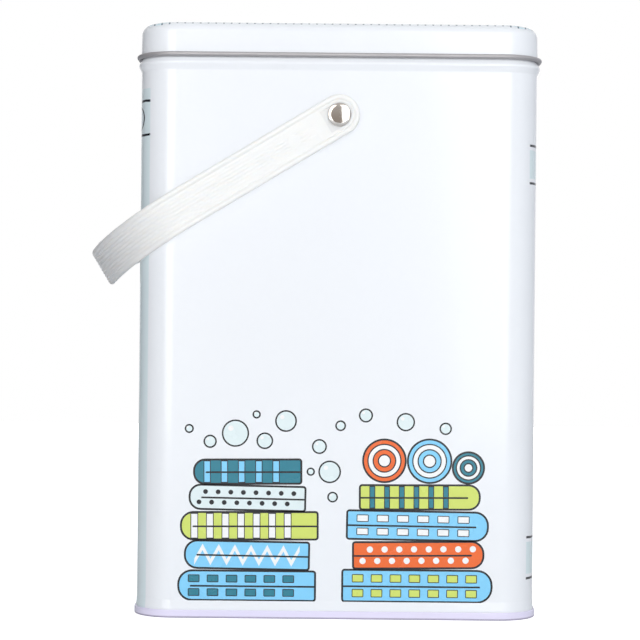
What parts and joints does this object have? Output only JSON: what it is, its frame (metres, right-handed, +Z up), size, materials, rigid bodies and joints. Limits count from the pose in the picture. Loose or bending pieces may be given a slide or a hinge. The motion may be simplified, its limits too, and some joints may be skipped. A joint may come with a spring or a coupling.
{
  "type": "laundry powder container",
  "caption": "Tall rounded rectangular tin for laundry powder, with a slip lid, a seamed base and a ribbed plastic bail handle on two rivets.",
  "frame": {"origin": "centre of the standing rim, on the surface the tin stands on", "axes": "+Z up, -Y out of the front wall, +X to the right seen from the front"},
  "size_m": [0.2214, 0.1476, 0.284],
  "materials": {
    "white_enamel": "white printed tinplate, glossy",
    "lilac_enamel": "pale lilac lacquered tinplate, glossy",
    "milky_plastic": "translucent milky white, ribbed",
    "bright_steel": "bright plated",
    "white_plastic": "plain"
  },
  "bodies": {
    "can": {"body_wall": "white_enamel", "base_end": "lilac_enamel", "rivets": "bright_steel", "spacers": "white_plastic"},
    "lid": {"lid": "white_enamel"},
    "handle": {"bail_handle": "milky_plastic"}
  },
  "joints": [
    {"name": "lid_lift", "type": "slide", "parent": "can", "child": "lid", "axis": [0, 0, 1], "range_m": [0, 0.05]},
    {"name": "handle_swing", "type": "hinge", "parent": "can", "child": "handle", "pos_m": [0, 0, 0.2395], "axis": [0, 1, 0], "range_deg": [-2.9, 245.3]}
  ]
}
